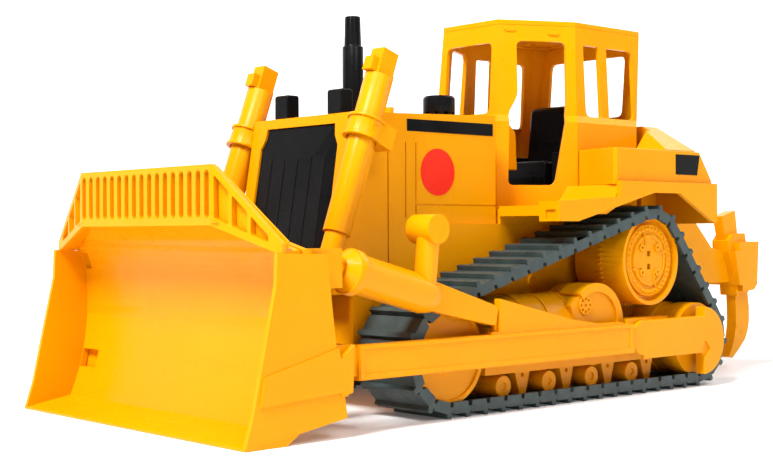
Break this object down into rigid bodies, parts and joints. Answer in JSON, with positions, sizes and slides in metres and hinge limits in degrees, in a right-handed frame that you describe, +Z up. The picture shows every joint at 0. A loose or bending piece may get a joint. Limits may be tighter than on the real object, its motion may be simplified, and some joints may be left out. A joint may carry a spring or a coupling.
{
  "type": "toy bulldozer",
  "caption": "Plastic toy crawler bulldozer: a lifting blade on two arms and cylinders, rubber tracks round turning wheels, an open cab with a seat, and a ripper that lifts behind.",
  "frame": {"origin": "centre of the bounding box on the ground plane, under the tracks", "axes": "+X forward to the blade, +Y to the toy's left, +Z up"},
  "size_m": [0.4516, 0.195, 0.2115],
  "materials": {
    "yellow_plastic": "bright yellow moulded plastic, semi-gloss",
    "black_plastic": "black moulded plastic",
    "red_label": "plain red label, no print",
    "track_rubber": "dark grey-green rubber, matte",
    "steel_pins": "plain steel pins, rods and screws"
  },
  "bodies": {
    "body": {"tub": "yellow_plastic", "hood": "yellow_plastic", "grille": "black_plastic", "headlights": "black_plastic", "exhaust_stack": "black_plastic", "pre_cleaner": "black_plastic", "hood_stripes": "black_plastic", "round_sticker": "red_label", "tank_patches": "black_plastic", "lift_yoke_left": "yellow_plastic", "lift_yoke_right": "yellow_plastic", "rear_body": "yellow_plastic", "side_tank_left": "yellow_plastic", "side_tank_right": "yellow_plastic", "rear_cover": "yellow_plastic", "cab_shell": "yellow_plastic", "cab_roof": "yellow_plastic", "cab_floor": "black_plastic", "seat": "black_plastic", "track_frame_left": "yellow_plastic", "track_frame_right": "yellow_plastic", "frame_cover_left": "yellow_plastic", "frame_cover_right": "yellow_plastic", "rollers_left": "yellow_plastic", "rollers_right": "yellow_plastic", "track_left": "track_rubber", "track_right": "track_rubber", "front_axle": "steel_pins", "rear_axle": "steel_pins", "drive_axle": "steel_pins", "axle_caps": "yellow_plastic", "arm_pivot_pins": "steel_pins", "ripper_bracket": "yellow_plastic", "ripper_pin": "steel_pins", "body_screws": "steel_pins"},
    "front_idler_left": {"front_idler_left": "yellow_plastic"},
    "front_idler_right": {"front_idler_right": "yellow_plastic"},
    "rear_idler_left": {"rear_idler_left": "yellow_plastic"},
    "rear_idler_right": {"rear_idler_right": "yellow_plastic"},
    "drum_left": {"drive_drum_left": "yellow_plastic", "hub_cover_left": "yellow_plastic"},
    "drum_right": {"drive_drum_right": "yellow_plastic", "hub_cover_right": "yellow_plastic"},
    "blade": {"blade": "yellow_plastic", "blade_frame": "yellow_plastic", "push_arm_left": "yellow_plastic", "push_arm_right": "yellow_plastic", "tilt_brace_left": "yellow_plastic", "tilt_brace_right": "yellow_plastic", "brace_handle_left": "yellow_plastic", "brace_handle_right": "yellow_plastic", "lift_pins": "steel_pins"},
    "lift_barrel_left": {"lift_barrel_left": "yellow_plastic"},
    "lift_barrel_right": {"lift_barrel_right": "yellow_plastic"},
    "lift_rod_left": {"lift_rod_left": "yellow_plastic"},
    "lift_rod_right": {"lift_rod_right": "yellow_plastic"},
    "ripper": {"ripper_arm": "yellow_plastic", "shanks": "yellow_plastic", "shank_pins": "steel_pins"}
  },
  "joints": [
    {"name": "blade_lift", "type": "hinge", "parent": "body", "child": "blade", "pos_m": [-0.048, 0, 0.032], "axis": [0, -1, 0], "range_deg": [0, 11]},
    {"name": "ripper_lift", "type": "hinge", "parent": "body", "child": "ripper", "pos_m": [-0.134, 0, 0.08], "axis": [0, 1, 0], "range_deg": [-6, 35]},
    {"name": "lift_tilt_left", "type": "hinge", "parent": "body", "child": "lift_barrel_left", "pos_m": [0.1183, 0.049, 0.141], "axis": [0, -1, 0], "range_deg": [0, 5.9]},
    {"name": "lift_slide_left", "type": "slide", "parent": "lift_barrel_left", "child": "lift_rod_left", "axis": [-0.3338, 0, 0.9426], "range_m": [0, 0.038]},
    {"name": "drum_spin_left", "type": "hinge", "parent": "body", "child": "drum_left", "pos_m": [-0.0682, 0, 0.0742], "axis": [0, 1, 0], "continuous": true},
    {"name": "front_idler_spin_left", "type": "hinge", "parent": "body", "child": "front_idler_left", "pos_m": [0.0928, 0, 0.03], "axis": [0, 1, 0], "continuous": true},
    {"name": "rear_idler_spin_left", "type": "hinge", "parent": "body", "child": "rear_idler_left", "pos_m": [-0.1117, 0, 0.0272], "axis": [0, 1, 0], "continuous": true},
    {"name": "lift_tilt_right", "type": "hinge", "parent": "body", "child": "lift_barrel_right", "pos_m": [0.1183, -0.049, 0.141], "axis": [0, -1, 0], "range_deg": [0, 5.9]},
    {"name": "lift_slide_right", "type": "slide", "parent": "lift_barrel_right", "child": "lift_rod_right", "axis": [-0.3338, 0, 0.9426], "range_m": [0, 0.038]},
    {"name": "drum_spin_right", "type": "hinge", "parent": "body", "child": "drum_right", "pos_m": [-0.0682, 0, 0.0742], "axis": [0, 1, 0], "continuous": true},
    {"name": "front_idler_spin_right", "type": "hinge", "parent": "body", "child": "front_idler_right", "pos_m": [0.0928, 0, 0.03], "axis": [0, 1, 0], "continuous": true},
    {"name": "rear_idler_spin_right", "type": "hinge", "parent": "body", "child": "rear_idler_right", "pos_m": [-0.1117, 0, 0.0272], "axis": [0, 1, 0], "continuous": true}
  ],
  "couplings": [
    {"joint": "lift_tilt_left", "follows": "blade_lift", "ratio": 0.5305},
    {"joint": "lift_slide_left", "follows": "blade_lift", "m_per_rad": 0.1949},
    {"joint": "front_idler_spin_left", "follows": "drum_spin_left", "ratio": 1.0531},
    {"joint": "rear_idler_spin_left", "follows": "drum_spin_left", "ratio": 1.1889},
    {"joint": "lift_tilt_right", "follows": "blade_lift", "ratio": 0.5305},
    {"joint": "lift_slide_right", "follows": "blade_lift", "m_per_rad": 0.1949},
    {"joint": "front_idler_spin_right", "follows": "drum_spin_right", "ratio": 1.0531},
    {"joint": "rear_idler_spin_right", "follows": "drum_spin_right", "ratio": 1.1889}
  ]
}
